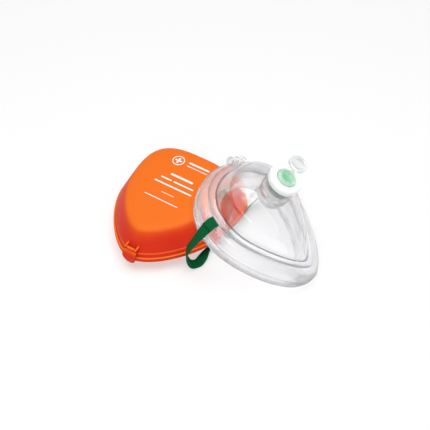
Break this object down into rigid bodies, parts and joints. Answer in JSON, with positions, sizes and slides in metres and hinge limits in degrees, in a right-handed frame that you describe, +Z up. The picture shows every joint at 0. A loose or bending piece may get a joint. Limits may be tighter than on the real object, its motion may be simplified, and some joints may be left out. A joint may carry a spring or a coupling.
{
  "type": "pocket resuscitation mask",
  "caption": "Clear rescue-breathing face mask with air cushion, head strap and one-way valve, leaning on its closed hard case.",
  "frame": {"origin": "centre of the case base's flat underside, on the surface it stands on", "axes": "+Z up; +Y toward the hinge edge of the case; +X toward the mask that leans on the case"},
  "size_m": [0.2117, 0.1552, 0.1079],
  "materials": {
    "case_orange": "glossy",
    "pin_steel": "satin",
    "dome_clear": "glossy",
    "cushion_clear": "glossy",
    "lug_clear": "glossy",
    "strap_green": "woven",
    "port_clear": "glossy",
    "plug_clear": "glossy",
    "valve_clear": "glossy",
    "filter_white": "matte",
    "retainer_white": "satin",
    "guard_clear": "glossy",
    "seal_green": "satin",
    "cap_white": "glossy",
    "tube_clear": "glossy"
  },
  "bodies": {
    "case_base": {"case_base": "case_orange", "case_hinge_pin": "pin_steel"},
    "case_lid": {"case_lid": "case_orange", "latch_pin": "pin_steel"},
    "latch": {"latch_flap": "case_orange"},
    "mask": {"mask_flange": "dome_clear", "mask_dome": "dome_clear", "valve_collar": "dome_clear", "air_cushion": "cushion_clear", "strap_lugs": "lug_clear", "head_strap": "strap_green", "inflation_port": "port_clear"},
    "plug": {"inflation_plug": "plug_clear"},
    "valve": {"valve_body": "valve_clear", "filter_pad": "filter_white", "filter_retainer": "retainer_white", "diaphragm_guard": "guard_clear", "valve_seal": "seal_green", "valve_cap": "cap_white", "mouth_tube": "tube_clear", "tether_ring": "tube_clear"},
    "diaphragm": {"diaphragm": "seal_green"},
    "flip_cap": {"flip_cap": "tube_clear"}
  },
  "joints": [
    {"name": "lid_hinge", "type": "hinge", "parent": "case_base", "child": "case_lid", "pos_m": [0, 0.06775, 0.015], "axis": [-1, 0, 0], "range_deg": [0, 115]},
    {"name": "latch_hinge", "type": "hinge", "parent": "case_lid", "child": "latch", "pos_m": [0, -0.06175, 0.025], "axis": [-1, 0, 0], "range_deg": [0, 70]},
    {"name": "mask_lift", "type": "slide", "parent": "case_base", "child": "mask", "axis": [0.85, -0.1, 0.5172], "range_m": [0, 0.402]},
    {"name": "valve_turn", "type": "hinge", "parent": "mask", "child": "valve", "pos_m": [0.09941, 0.0227, 0.08299], "axis": [0.4271, 0.0849, 0.9002], "continuous": true},
    {"name": "diaphragm_travel", "type": "slide", "parent": "valve", "child": "diaphragm", "axis": [-0.4271, -0.0849, -0.9002], "range_m": [0, 0.0012], "stiffness_N_per_m": 40, "springref_m": -0.0005},
    {"name": "flip_cap_hinge", "type": "hinge", "parent": "valve", "child": "flip_cap", "pos_m": [0.10899, 0.03443, 0.10311], "axis": [0.9036, -0.0032, -0.4284], "range_deg": [0, 180]},
    {"name": "plug_hinge", "type": "hinge", "parent": "mask", "child": "plug", "pos_m": [0.04858, 0.04013, 0.0796], "axis": [0.54, -0.7377, -0.4052], "range_deg": [0, 250]}
  ],
  "couplings": [
    {"joint": "mask_lift", "follows": "lid_hinge", "m_per_rad": 0.2}
  ]
}
